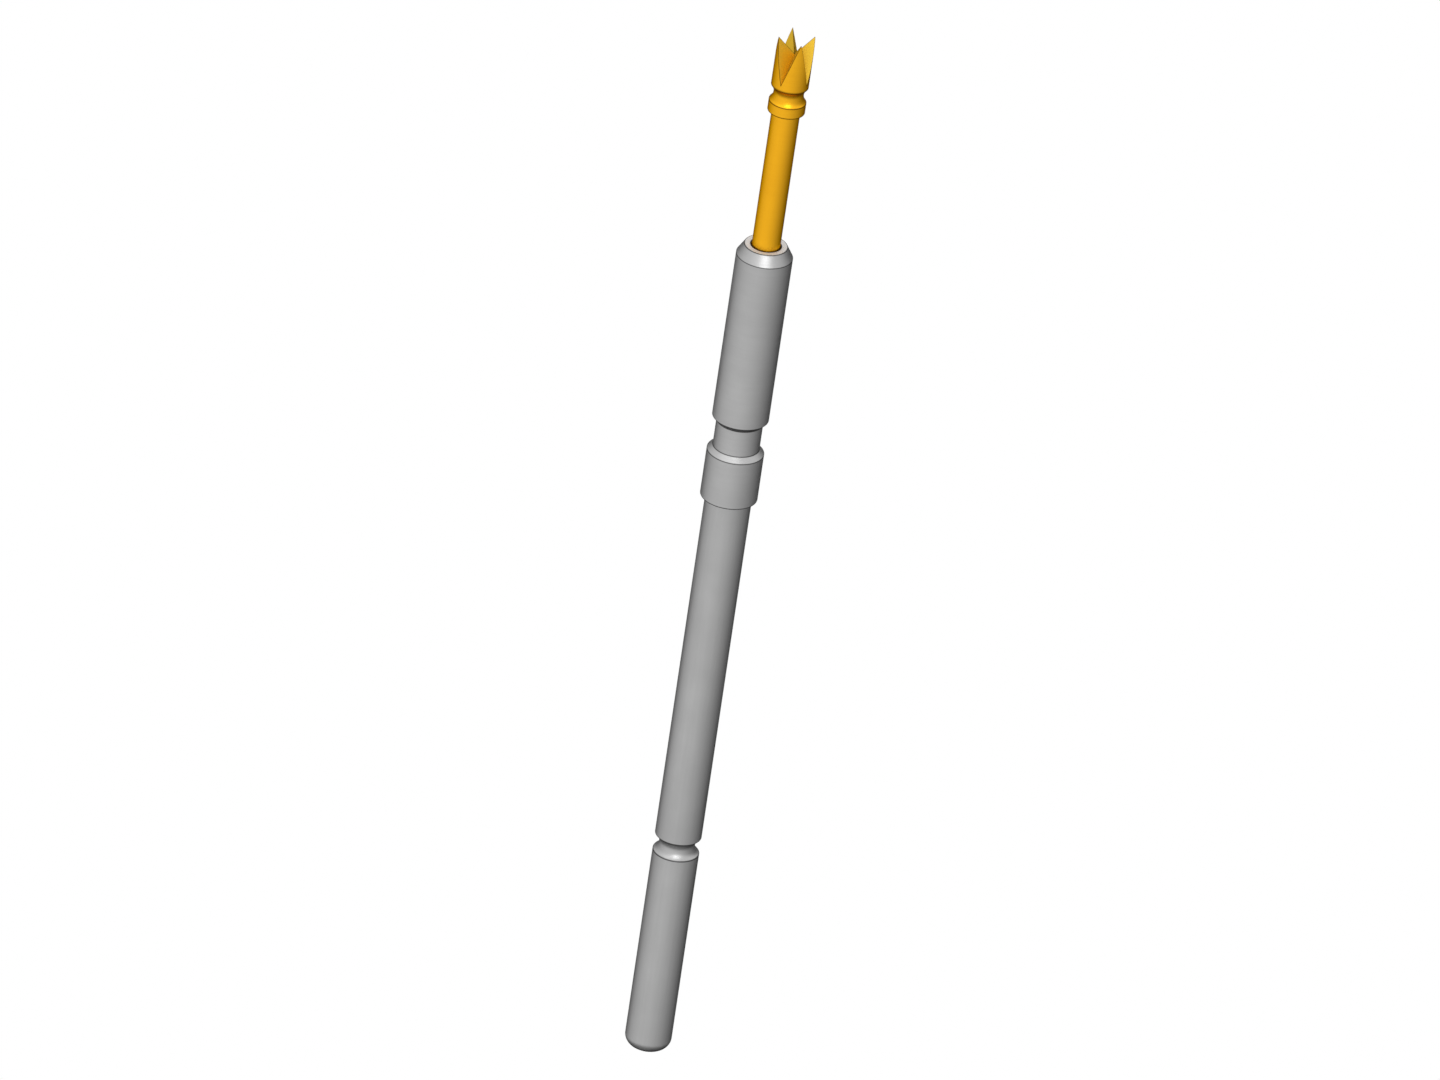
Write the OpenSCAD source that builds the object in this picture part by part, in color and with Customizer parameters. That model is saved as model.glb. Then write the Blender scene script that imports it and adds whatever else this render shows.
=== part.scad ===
// Spring-loaded contact pin for a 2.54 mm test grid, at real size in millimetres.
// A plunger with a crown of sharp points slides in a one-piece barrel.
// A coil spring and a small ball push it back out against the barrel's lip.
// Origin: centre of the press collar's lower shoulder. +Z points to the crown.

/* [Barrel] */
// Outer diameter of the plain tube, of the neck and of the tail
tube_d = 1.36; // [1.30:0.01:1.42]
// Outer diameter of the press collar
collar_d = 1.67; // [1.62:0.01:1.82]
// Outer diameter of the guide sleeve round the mouth
sleeve_d = 1.65; // [1.60:0.01:1.80]
// Inner diameter of the barrel
bore_d = 1.08; // [1.06:0.01:1.12]
// Height of the collar's straight wall
collar_h = 1.51; // [1.20:0.01:2.00]
// Distance between the straight walls of the collar and the sleeve
neck_h = 1.13; // [0.80:0.01:1.60]
// Height of the sleeve's straight wall
sleeve_h = 5.35; // [5.00:0.01:6.00]
// Height of the chamfer round the mouth
mouth_h = 0.33; // [0.20:0.01:0.50]
// Outer diameter of the flat face round the mouth
mouth_d = 1.26; // [1.15:0.01:1.40]
// Thickness of the rolled-in lip that keeps the plunger in
lip_h = 0.35; // [0.25:0.01:0.50]
// Length of the plain tube, from the shoulder to the rolled groove
tube_len = 11.29; // [10.00:0.01:14.00]
// Width of the rolled groove
roll_w = 0.54; // [0.44:0.01:0.60]
// Depth of the rolled groove
roll_depth = 0.155; // [0.120:0.005:0.160]
// Length of the closed tail below the rolled groove
tail_len = 6.53; // [4.00:0.01:9.00]
// Corner radius of the closed end
end_r = 0.35; // [0.25:0.01:0.45]

/* [Plunger] */
// Diameter of the shaft
shaft_d = 0.83; // [0.78:0.01:0.86]
// Travel from rest until the band under the crown nearly meets the mouth
stroke = 4.4; // [3.0:0.1:4.6]
// Diameter of the crown and of the band under it
crown_d = 1.09; // [1.00:0.01:1.30]
// Number of points on the crown
points = 4; // [3:1:8]
// Height of the points above the outer ends of the notches
point_h = 1.43; // [1.00:0.01:1.60]
// Height of the points above the middle of the crown
point_rise = 0.58; // [0.30:0.01:0.80]
// Height of the wall between the notches and the crown's lower rim
crown_foot_h = 0.19; // [0.10:0.01:0.60]
// Width of the round groove under the crown
crown_groove_w = 0.50; // [0.30:0.01:0.70]
// Depth of the round groove under the crown
crown_groove_depth = 0.105; // [0.050:0.005:0.150]
// Height of the band
band_h = 0.34; // [0.20:0.01:0.60]
// Diameter of the guide piston inside the barrel
piston_d = 1.04; // [1.00:0.01:1.04]
// Length of the guide piston on its axis
piston_len = 2.55; // [1.80:0.05:3.00]
// Angle of the slanted end that leans the plunger on the bore for contact
bias_angle = 20; // [5:1:25]

/* [Spring and ball] */
// Diameter of the ball between the spring and the slanted end
ball_d = 0.90; // [0.84:0.01:0.96]
// Diameter of the spring wire
wire_d = 0.16; // [0.12:0.01:0.17]
// Mean diameter of the coil
coil_d = 0.86; // [0.82:0.01:0.88]
// Number of turns that give way
active_turns = 34; // [20:1:36]
// Number of closed turns at each end
closed_turns = 2; // [1:1:3]

/* [Hidden] */
$fn = 96;

running_gap = 0.02;     // radial play of the shaft in the lip
seat_gap = 0.01;        // play between pieces that only press on each other
overcut = 0.05;         // how far a cutter runs past the face that it opens
wire_sides = 6;         // faces round the spring wire
turn_steps = 12;        // steps in one turn of the spring

tube_r = tube_d / 2;
collar_r = collar_d / 2;
sleeve_r = sleeve_d / 2;
bore_r = bore_d / 2;
wall = tube_r - bore_r;

// Heights on the barrel, from the collar's shoulder at 0
sleeve_z = collar_h + neck_h;
mouth_z = sleeve_z + sleeve_h + mouth_h;
lip_z = mouth_z - lip_h;
roll_z = -tube_len - roll_w / 2;
tail_z = -tube_len - roll_w - tail_len;
lip_r = shaft_d / 2 + running_gap;

// Circular arcs of the two grooves, with their centres outside the metal
function arc_radius(width, depth) = (width * width / 4 + depth * depth) / (2 * depth);
roll_arc_r = arc_radius(roll_w, roll_depth);
roll_arc_x = tube_r - roll_depth + roll_arc_r;
crown_arc_r = arc_radius(crown_groove_w, crown_groove_depth);

// Heights on the plunger at rest
shaft_r = shaft_d / 2;
crown_r = crown_d / 2;
piston_r = piston_d / 2;
piston_z = lip_z - seat_gap;
bias_z = piston_z - piston_len;
band_z = mouth_z + stroke + 3 * seat_gap;
crown_z = band_z + band_h + crown_groove_w;
tip_z = crown_z + crown_foot_h + point_h;
centre_z = tip_z - point_rise;

// Tilted V cuts: each runs down from the middle of the crown to the rim
notch_fall = atan((point_h - point_rise) / crown_r);
half_step = 180 / points;
notch_up = crown_r * cos(half_step) * sin(notch_fall) + point_rise * cos(notch_fall);
notch_half_angle = atan(crown_r * sin(half_step) / notch_up);
notch_reach = 2 * crown_d;

// The ball hangs under the slanted end, and the spring's ends seat on the ball and the bead
ball_r = ball_d / 2;
ball_z = bias_z - (ball_r + seat_gap) / cos(bias_angle);
wire_r = wire_d / 2;
coil_r = coil_d / 2;
chord_r = coil_r * cos(180 / turn_steps);
coil_top_z = ball_z - drop(ball_r + wire_r + seat_gap, chord_r);
coil_low_z = roll_z + drop(roll_arc_r + wall + wire_r + seat_gap, roll_arc_x - coil_r);
closed_pitch = wire_d + seat_gap;
closed_rise = closed_pitch * closed_turns;
turns = active_turns + 2 * closed_turns;
active_pitch = (coil_top_z - coil_low_z - 2 * closed_rise) / active_turns;

// Rise between two centres that are dist apart and side apart sideways
function drop(dist, side) = sqrt(dist * dist - side * side);

// Height of the wire's centre after so many turns from the lower end
function coil_z(turn) =
    let (active = min(max(turn - closed_turns, 0), active_turns))
    coil_low_z + closed_pitch * (turn - active) + active_pitch * active;

// One ring of points round the wire
function wire_ring(turn) = [
    for (side = [0 : wire_sides - 1])
        let (round = 360 * side / wire_sides, reach = coil_r + wire_r * cos(round))
        [reach * cos(360 * turn), reach * sin(360 * turn), coil_z(turn) + wire_r * sin(round)]
];

// Half section of a rod's lower end with a rounded corner
module rounded_foot(r, z, corner) {
    intersection() {
        translate([0, z]) square([r, corner]);
        union() {
            translate([0, z]) square([r - corner, corner]);
            translate([r - corner, z + corner]) circle(corner);
        }
    }
}

// Half section of the barrel's outside
module barrel_outside() {
    rounded_foot(tube_r, tail_z, end_r);
    difference() {
        polygon([
            [0, tail_z + end_r],
            [tube_r, tail_z + end_r],
            [tube_r, 0],
            [collar_r, 0],
            [collar_r, collar_h],
            [tube_r, collar_h + collar_r - tube_r],
            [tube_r, sleeve_z - sleeve_r + tube_r],
            [sleeve_r, sleeve_z],
            [sleeve_r, sleeve_z + sleeve_h],
            [mouth_d / 2, mouth_z],
            [0, mouth_z]
        ]);
        translate([roll_arc_x, roll_z]) circle(roll_arc_r);
    }
}

// Half section of the room inside, narrowed by the rolled groove's bead and by the lip
module barrel_inside() {
    inner_corner = end_r - wall;
    difference() {
        union() {
            rounded_foot(bore_r, tail_z + wall, inner_corner);
            polygon([
                [0, tail_z + end_r],
                [bore_r, tail_z + end_r],
                [bore_r, lip_z - bore_r + lip_r],
                [lip_r, lip_z],
                [lip_r, mouth_z + overcut],
                [0, mouth_z + overcut]
            ]);
        }
        translate([roll_arc_x, roll_z]) circle(roll_arc_r + wall);
    }
}

// Barrel, drawn and turned in one piece: sleeve, neck, press collar, tube and closed tail
module barrel() {
    color("#a3a3a3")
    rotate_extrude()
    difference() {
        barrel_outside();
        barrel_inside();
    }
}

// Half section of the plunger before its crown is notched
module plunger_blank() {
    difference() {
        polygon([
            [0, bias_z - piston_r],
            [piston_r, bias_z - piston_r],
            [piston_r, piston_z - piston_r + shaft_r],
            [shaft_r, piston_z],
            [shaft_r, band_z],
            [crown_r, band_z],
            [crown_r, tip_z + overcut],
            [0, tip_z + overcut]
        ]);
        translate([crown_r - crown_groove_depth + crown_arc_r, crown_z - crown_groove_w / 2])
            circle(crown_arc_r);
    }
}

// V cutter whose bottom edge falls from the middle of the crown towards +X
module notch_cutter() {
    half_width = notch_reach * tan(notch_half_angle);
    translate([0, 0, centre_z])
    rotate([0, notch_fall, 0])
    rotate([90, 0, 90])
    linear_extrude(height = 2 * notch_reach, center = true)
        polygon([[0, 0], [half_width, notch_reach], [-half_width, notch_reach]]);
}

// Everything below the slanted end
module bias_cutter() {
    translate([0, 0, bias_z])
    rotate([0, bias_angle, 0])
    translate([-piston_d, -piston_d, -2 * piston_d])
        cube(2 * piston_d);
}

// Plunger, turned in one piece: crown, groove, band, shaft and guide piston
module plunger() {
    color("#dca11e")
    difference() {
        rotate_extrude() plunger_blank();
        for (i = [0 : points - 1])
            rotate([0, 0, (2 * i + 1) * half_step]) notch_cutter();
        bias_cutter();
    }
}

// Ball between the spring and the plunger
module bias_ball() {
    color("#c8c8c8")
    translate([0, 0, ball_z]) sphere(ball_r);
}

// Helical compression spring with closed ends, as it stands in the barrel at rest
module spring() {
    rings = turns * turn_steps;
    ring_points = [for (step = [0 : rings]) each wire_ring(step / turn_steps)];
    side_faces = [
        for (step = [0 : rings - 1], side = [0 : wire_sides - 1])
            let (a = step * wire_sides + side, b = step * wire_sides + (side + 1) % wire_sides)
            [a, a + wire_sides, b + wire_sides, b]
    ];
    low_end = [for (side = [0 : wire_sides - 1]) side];
    high_end = [for (side = [wire_sides - 1 : -1 : 0]) rings * wire_sides + side];
    color("#9a9a96")
    polyhedron(ring_points, concat(side_faces, [low_end, high_end]));
}

barrel();
plunger();
bias_ball();
spring();
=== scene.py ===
"""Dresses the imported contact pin: turned bodies, fine edges, plated finishes and a pale studio.

Meshes are made in millimetres and brought to metres once, when a piece is finished.
Heights count from the press collar's shoulder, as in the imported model.
"""

import logging
import math
from dataclasses import dataclass, field
from enum import Enum

import bpy
from bpy.types import ID, Material, Mesh, Node, NodeOutputs, NodeSocket, NodeTree, Object
from mathutils import Matrix, Vector


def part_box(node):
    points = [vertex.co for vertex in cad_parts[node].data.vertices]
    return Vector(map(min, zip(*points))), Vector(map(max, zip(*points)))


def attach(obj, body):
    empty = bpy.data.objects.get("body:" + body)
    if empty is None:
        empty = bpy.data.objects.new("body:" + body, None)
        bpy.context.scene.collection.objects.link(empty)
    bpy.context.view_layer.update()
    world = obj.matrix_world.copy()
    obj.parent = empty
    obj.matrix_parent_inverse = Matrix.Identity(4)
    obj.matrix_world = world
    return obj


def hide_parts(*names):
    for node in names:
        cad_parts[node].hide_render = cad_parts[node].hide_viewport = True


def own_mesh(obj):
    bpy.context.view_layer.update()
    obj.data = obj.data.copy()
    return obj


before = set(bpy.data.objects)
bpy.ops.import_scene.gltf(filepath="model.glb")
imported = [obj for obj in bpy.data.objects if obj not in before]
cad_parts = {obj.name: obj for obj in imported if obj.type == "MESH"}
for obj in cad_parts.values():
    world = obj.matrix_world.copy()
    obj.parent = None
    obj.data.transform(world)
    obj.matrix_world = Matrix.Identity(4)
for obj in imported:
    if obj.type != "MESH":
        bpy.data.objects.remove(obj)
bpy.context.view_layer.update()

MM = 0.001
SAME_PLACE = 1e-4  # vertices that are closer than this, in millimetres, are one
SHARP_ANGLE = math.radians(50)  # faces that meet at more than this have a crisp edge between them
LEVEL = 0.98  # faces whose normal's height is over this are level
TURNED_FROM = -0.02  # height in millimetres over which the barrel is turned, and not only drawn
NOISE_RANGE = (0.3, 0.7)  # nearly all values of a noise pattern lie between these
# Face attribute that is 1 where a second tool cut, on the mouth's end face and the crown's flanks:
# duller, and with painted light in their colour
SECOND_CUT_AND_PAINTED_LIGHT = "second_cut"
# Broken edges are darkened, partly as worn plating and partly as a painted shade line
WORN_AND_SHADED = "worn"  # attribute that is 1 along broken edges
MATH = "ShaderNodeMath"

log = logging.getLogger("contact_pin")


# ---------------------------------------------------------------- shared helpers


def linear(code: str) -> tuple[float, float, float, float]:
    """Turns an sRGB hex colour into a linear one.

    Args:
        code: six hex digits after a hash, such as "#a9a9a9".

    Returns:
        Red, green, blue, and an alpha of 1.
    """
    parts = [int(code[i : i + 2], 16) / 255 for i in (1, 3, 5)]
    red, green, blue = (p / 12.92 if p <= 0.04045 else ((p + 0.055) / 1.055) ** 2.4 for p in parts)
    return red, green, blue, 1.0


def add_node(tree: NodeTree, kind: str, sockets: dict | tuple = (), **settings) -> Node:
    """Adds a node with its settings, values and links.

    Args:
        tree: the node tree that gets the node.
        kind: Blender's name for the node's type.
        sockets: for each input, by its name or in order, a value, the socket that feeds it, a
            node that feeds it with its first output, or a list of such feeds.
        **settings: the node's own properties.

    Returns:
        The new node.
    """
    node = tree.nodes.new(kind)
    for name, value in settings.items():
        setattr(node, name, value)
    for key, value in sockets.items() if isinstance(sockets, dict) else enumerate(sockets):
        for feed in value if isinstance(value, list) else [value]:
            if isinstance(feed, Node):
                feed = feed.outputs[0]
            if isinstance(feed, NodeSocket):
                tree.links.new(feed, node.inputs[key])
            else:
                node.inputs[key].default_value = feed
    return node


def new_tree(
    name: str,
    inputs: dict[str, str],
    output: tuple[str, str] = ("Geometry", "Geometry"),
    kind: str = "GeometryNodeTree",
) -> tuple[NodeTree, NodeOutputs]:
    """Starts a node tree with named sockets.

    Args:
        name: the tree's name.
        inputs: the type of each input, by its name.
        output: the output's name and type.
        kind: Blender's name for the tree's type.

    Returns:
        The tree, and the outputs of its group input node.
    """
    tree = bpy.data.node_groups.new(name, kind)
    for in_out, sockets in (("INPUT", inputs.items()), ("OUTPUT", [output])):
        for socket, socket_type in sockets:
            tree.interface.new_socket(
                name=socket, in_out=in_out, socket_type="NodeSocket" + socket_type
            )
    return tree, add_node(tree, "NodeGroupInput").outputs


def shader_tree(owner: ID) -> NodeTree:
    """Gives a new material or world an empty node tree.

    Args:
        owner: the material or the world.

    Returns:
        The tree.
    """
    owner.use_nodes = True
    owner.node_tree.nodes.clear()
    return owner.node_tree


def new_object(name: str, data: ID) -> Object:
    """Makes an object and puts it in the scene.

    Args:
        name: the object's name.
        data: its mesh, lamp or camera.

    Returns:
        The object.
    """
    made = bpy.data.objects.new(name, data)
    bpy.context.scene.collection.objects.link(made)
    return made


def run_tree(made: Object, tree: NodeTree, values: dict) -> None:
    """Puts a node tree on an object, with its sizes.

    Args:
        made: the object.
        tree: the geometry node tree.
        values: the value of each input, by its name.
    """
    modifier = made.modifiers.new(tree.name, "NODES")
    modifier.node_group = tree
    for item in tree.interface.items_tree:
        if item.in_out == "INPUT" and item.name in values:
            modifier[item.identifier] = values[item.name]


def finished(name: str, rough: Object) -> Object:
    """Replaces a rough object by the plain mesh, in metres, that its modifiers make.

    Args:
        name: the finished piece's name.
        rough: an object at the origin, in millimetres, which is removed.

    Returns:
        The finished piece, without modifiers.
    """
    depsgraph = bpy.context.evaluated_depsgraph_get()
    mesh = bpy.data.meshes.new_from_object(
        rough.evaluated_get(depsgraph), preserve_all_data_layers=True, depsgraph=depsgraph
    )
    mesh.name = name
    mesh.transform(Matrix.Scale(MM, 4))
    bpy.data.objects.remove(rough)
    return new_object(name, mesh)


# ---------------------------------------------------------------- half sections of turned bodies


@dataclass(frozen=True)
class Corner:
    """A point of a half section, in millimetres, and the radius that its edge is rounded to."""

    r: float
    z: float
    radius: float = 0.0

    @property
    def place(self) -> Vector:
        """The point with its radius in x and its height in z."""
        return Vector((self.r, 0, self.z))


@dataclass
class HalfSection:
    """The outline of a turned body, walked with the metal on the left, and up the outside.

    Sizes are in millimetres.
    """

    corners: list[Corner]
    least_steps: int = 5  # number of steps in the finest arc
    longest_step: float = 0.03
    support: float = 0.02  # how far from its ends a straight run gets the points that hold it flat
    held_from: float = 0.08  # straight runs that are longer than this are held flat
    # Edges with a smaller radius than this get dark wear and a painted shade line
    worn_and_shaded_below: float = 0.03  # edges with a smaller radius than this are worn

    def points(self) -> list[tuple[Vector, float]]:
        """Rounds the corners and holds the straight runs flat up to their ends.

        Returns:
            The outline's points, radius in x and height in z, and whether each gets dark wear and
            painted shade.
        """
        rounded = [(self.corners[0].place, 0.0)]
        for before, here, after in zip(self.corners, self.corners[1:], self.corners[2:]):
            # Small edges get dark wear and a painted shade line
            wear = float(0 < here.radius < self.worn_and_shaded_below)
            rounded += [(place, wear) for place in self.arc(before.place, here, after.place)]
        rounded.append((self.corners[-1].place, 0.0))
        held = [rounded[0]]
        for (start, _), (end, wear) in zip(rounded, rounded[1:]):
            run = end - start
            if run.length > self.held_from:
                step = run.normalized() * self.support
                held += [(start + step, 0.0), (end - step, 0.0)]
            held.append((end, wear))
        return held

    def arc(self, before: Vector, corner: Corner, after: Vector) -> list[Vector]:
        """Replaces a corner by an arc that touches both of its sides.

        Args:
            before: the point ahead of the corner.
            corner: the corner.
            after: the point past the corner.

        Returns:
            The arc's points in order, or the corner alone where it has no radius.
        """
        here, radius = corner.place, corner.radius
        if not radius:
            return [here]
        back, onward = (before - here).normalized(), (after - here).normalized()
        half = back.angle(onward) / 2
        middle = here + (back + onward).normalized() * radius / math.sin(half)
        reach = radius / math.tan(half)
        start = (here + back * reach - middle).normalized()
        end = (here + onward * reach - middle).normalized()
        steps = max(self.least_steps, round(radius * start.angle(end) / self.longest_step))
        return [middle + start.slerp(end, step / steps) * radius for step in range(steps + 1)]

    def mesh(self, name: str) -> Mesh:
        """Makes the outline a mesh of joined edges, which tells which points get dark wear and
        painted shade.

        Args:
            name: the mesh's name.

        Returns:
            The mesh.
        """
        places, wear = zip(*self.points())
        edges = [(i, i + 1) for i in range(len(places) - 1)]
        mesh = bpy.data.meshes.new(name)
        mesh.from_pydata([tuple(place) for place in places], edges, [])
        mesh.attributes.new(WORN_AND_SHADED, "FLOAT", "POINT").data.foreach_set("value", wear)
        return mesh


def arc_radius(width: float, depth: float) -> float:
    """Returns the radius of the arc that makes a groove of this width and depth."""
    return (width * width / 4 + depth * depth) / (2 * depth)


def waist(
    wall_r: float, middle_r: float, middle_z: float, arc_r: float, edge: float, steps: int = 18
) -> list[Corner]:
    """Draws the arc by which a round roller's shape narrows a cylinder.

    Args:
        wall_r: radius of the cylinder.
        middle_r: distance of the arc's centre from the axis.
        middle_z: height of the arc's centre.
        arc_r: radius of the arc.
        edge: radius that the edges on both sides are rounded to.
        steps: number of steps along the arc.

    Returns:
        The corners from the lower edge to the upper one.
    """
    reach = math.acos((middle_r - wall_r) / arc_r)
    turns = [reach * (2 * step / steps - 1) for step in range(steps + 1)]
    radii = [edge] + [0.0] * (steps - 1) + [edge]
    return [
        Corner(middle_r - arc_r * math.cos(turn), middle_z + arc_r * math.sin(turn), radius)
        for turn, radius in zip(turns, radii)
    ]


# ---------------------------------------------------------------- geometry node trees


def turned_group() -> NodeTree:
    """Builds the tree that turns a half section round the axis into a closed, smooth body.

    Returns:
        The tree.
    """
    tree, given = new_tree("Turned body", {"Half Section": "Geometry", "Steps": "Int"})
    section = given["Half Section"]
    # A grid holds the body unrolled: x is the angle, and y counts along the outline
    size = add_node(tree, "GeometryNodeAttributeDomainSize", {"Geometry": section})
    count = size.outputs["Point Count"]
    rows = add_node(tree, MATH, (count, 1), operation="SUBTRACT")
    columns = add_node(tree, MATH, (given["Steps"], 1), operation="ADD")
    sheet = add_node(
        tree,
        "GeometryNodeMeshGrid",
        {"Size X": math.tau, "Size Y": rows, "Vertices X": columns, "Vertices Y": count},
    )
    place = add_node(tree, "GeometryNodeInputPosition")
    unrolled = add_node(tree, "ShaderNodeSeparateXYZ", (place,)).outputs
    middle = add_node(tree, MATH, (rows, 0.5, unrolled["Y"]), operation="MULTIPLY_ADD")
    row = add_node(tree, MATH, (middle,), operation="ROUND")
    outline = add_node(
        tree,
        "GeometryNodeSampleIndex",
        {"Geometry": section, "Value": place, "Index": row},
        data_type="FLOAT_VECTOR",
    )
    turned = add_node(
        tree,
        "ShaderNodeVectorRotate",
        {"Vector": outline, "Angle": unrolled["X"]},
        rotation_type="Z_AXIS",
    )
    # The mark for dark wear and painted shade follows the outline's points
    worn = add_node(tree, "GeometryNodeInputNamedAttribute", {"Name": WORN_AND_SHADED}, data_type="FLOAT")
    wear = add_node(
        tree,
        "GeometryNodeSampleIndex",
        {"Geometry": section, "Value": worn, "Index": row},
        data_type="FLOAT",
    )
    marked = add_node(
        tree,
        "GeometryNodeStoreNamedAttribute",
        {"Geometry": sheet, "Name": WORN_AND_SHADED, "Value": wear},
        data_type="FLOAT",
        domain="POINT",
    )
    rolled = add_node(tree, "GeometryNodeSetPosition", {"Geometry": marked, "Position": turned})
    closed = add_node(
        tree, "GeometryNodeMergeByDistance", {"Geometry": rolled, "Distance": SAME_PLACE}
    )
    smooth = add_node(tree, "GeometryNodeSetShadeSmooth", {"Geometry": closed})
    add_node(tree, "NodeGroupOutput", {"Geometry": smooth})
    return tree


def turned_tree(turned: NodeTree) -> NodeTree:
    """Builds the tree of a piece that is only turned.

    Args:
        turned: the group that turns a half section.

    Returns:
        The tree.
    """
    tree, given = new_tree(
        "Turned piece", {"Half Section": "Geometry", "Steps": "Int", "Material": "Material"}
    )
    body = add_node(
        tree, "GeometryNodeGroup", (given["Half Section"], given["Steps"]), node_tree=turned
    )
    real = add_node(tree, "GeometryNodeRealizeInstances", {"Geometry": body})
    # What faces up was faced with a second tool: the finish makes it duller and paints it paler, as
    # lit from above
    facing = add_node(tree, "GeometryNodeInputNormal")
    upward = add_node(tree, "ShaderNodeSeparateXYZ", (facing,)).outputs["Z"]
    level = add_node(tree, MATH, (upward, LEVEL), operation="GREATER_THAN")
    told_apart = add_node(
        tree,
        "GeometryNodeStoreNamedAttribute",
        {"Geometry": real, "Name": SECOND_CUT_AND_PAINTED_LIGHT, "Value": level},
        data_type="FLOAT",
        domain="FACE",
    )
    dressed = add_node(
        tree, "GeometryNodeSetMaterial", {"Geometry": told_apart, "Material": given["Material"]}
    )
    add_node(tree, "NodeGroupOutput", {"Geometry": dressed})
    return tree


def crown_group() -> NodeTree:
    """Builds the tree of a crown: flat flanks between points and V notches, over a round wall.

    Returns:
        The tree.
    """
    tree, given = new_tree(
        "Crown",
        {
            "Points": "Int",
            "Steps": "Int",
            "Radius": "Float",
            "Tip Height": "Float",
            "Point Rise": "Float",
            "Point Height": "Float",
            "Wall Foot": "Float",
        },
    )
    # In plan, one flank is a slice of the disc, from a point's direction to the next notch's
    flanks = add_node(tree, MATH, (given["Points"], 2), operation="MULTIPLY")
    slice_angle = add_node(tree, MATH, (math.pi, given["Points"]), operation="DIVIDE")
    share = add_node(tree, MATH, (given["Steps"], flanks), operation="DIVIDE")
    ticks = add_node(tree, MATH, (share, 1), operation="ADD")
    rim = add_node(
        tree,
        "GeometryNodeCurveArc",
        {
            "Resolution": ticks,
            "Radius": given["Radius"],
            "Sweep Angle": slice_angle,
            "Connect Center": True,
        },
        mode="RADIUS",
    )
    plan = add_node(tree, "GeometryNodeFillCurve", {"Curve": rim.outputs["Curve"]}, mode="NGONS")
    row = add_node(tree, "GeometryNodeMeshLine", {"Count": flanks, "Offset": (0, 0, 0)})
    number = add_node(tree, "GeometryNodeInputIndex")
    turn = add_node(tree, MATH, (number, slice_angle), operation="MULTIPLY")
    spin = add_node(tree, "ShaderNodeCombineXYZ", {"Z": turn})
    around = add_node(
        tree, "GeometryNodeInstanceOnPoints", {"Points": row, "Instance": plan, "Rotation": spin}
    )
    real = add_node(tree, "GeometryNodeRealizeInstances", {"Geometry": around})
    disc = add_node(tree, "GeometryNodeMergeByDistance", {"Geometry": real, "Distance": SAME_PLACE})

    # Each slice is tilted as a plane: it rises towards its point and falls across to its notch
    place = add_node(tree, "GeometryNodeInputPosition")
    flat = add_node(tree, "ShaderNodeSeparateXYZ", (place,)).outputs
    azimuth = add_node(tree, MATH, (flat["Y"], flat["X"]), operation="ARCTAN2")
    folded = add_node(tree, MATH, (azimuth, slice_angle), operation="PINGPONG")
    along, across, cosine, sine = (
        add_node(tree, MATH, (angle,), operation=operation)
        for angle in (folded, slice_angle)
        for operation in ("COSINE", "SINE")
    )
    rise = given["Point Rise"]
    dip = add_node(tree, MATH, (rise, given["Point Height"]), operation="SUBTRACT")
    level = add_node(tree, MATH, (rise, cosine), operation="MULTIPLY")
    drop = add_node(tree, MATH, (dip, level), operation="SUBTRACT")
    fall = add_node(tree, MATH, (drop, sine), operation="DIVIDE")
    climb = add_node(tree, MATH, (rise, along), operation="MULTIPLY")
    slope = add_node(tree, MATH, (fall, across, climb), operation="MULTIPLY_ADD")
    reach = add_node(tree, "ShaderNodeVectorMath", (place,), operation="LENGTH")
    part = add_node(tree, MATH, (reach.outputs["Value"], given["Radius"]), operation="DIVIDE")
    centre = add_node(tree, MATH, (given["Tip Height"], rise), operation="SUBTRACT")
    height = add_node(tree, MATH, (slope, part, centre), operation="MULTIPLY_ADD")
    raised = add_node(tree, "ShaderNodeCombineXYZ", {"Z": height})
    tilted = add_node(tree, "GeometryNodeSetPosition", {"Geometry": disc, "Offset": raised})

    # The round wall hangs from the open edges, which have fewer than 2 faces, and ends level
    faces = add_node(tree, "GeometryNodeInputMeshEdgeNeighbors")
    is_open = add_node(tree, MATH, (faces, 2), operation="LESS_THAN")
    wall = add_node(
        tree,
        "GeometryNodeExtrudeMesh",
        {"Mesh": tilted, "Selection": is_open, "Offset Scale": 0},
        mode="EDGES",
    ).outputs
    ring = add_node(
        tree, "ShaderNodeCombineXYZ", {"X": flat["X"], "Y": flat["Y"], "Z": given["Wall Foot"]}
    )
    footed = add_node(
        tree,
        "GeometryNodeSetPosition",
        {"Geometry": wall["Mesh"], "Selection": wall["Top"], "Position": ring},
    )
    # The flanks are milled, which makes them duller, and their colour is painted against the orange
    # of their reflections in each other; the wall is turned
    milled = add_node(tree, MATH, (1, wall["Side"]), operation="SUBTRACT")
    told_apart = add_node(
        tree,
        "GeometryNodeStoreNamedAttribute",
        {"Geometry": footed, "Name": SECOND_CUT_AND_PAINTED_LIGHT, "Value": milled},
        data_type="FLOAT",
        domain="FACE",
    )
    add_node(tree, "NodeGroupOutput", {"Geometry": told_apart})
    return tree


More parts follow.
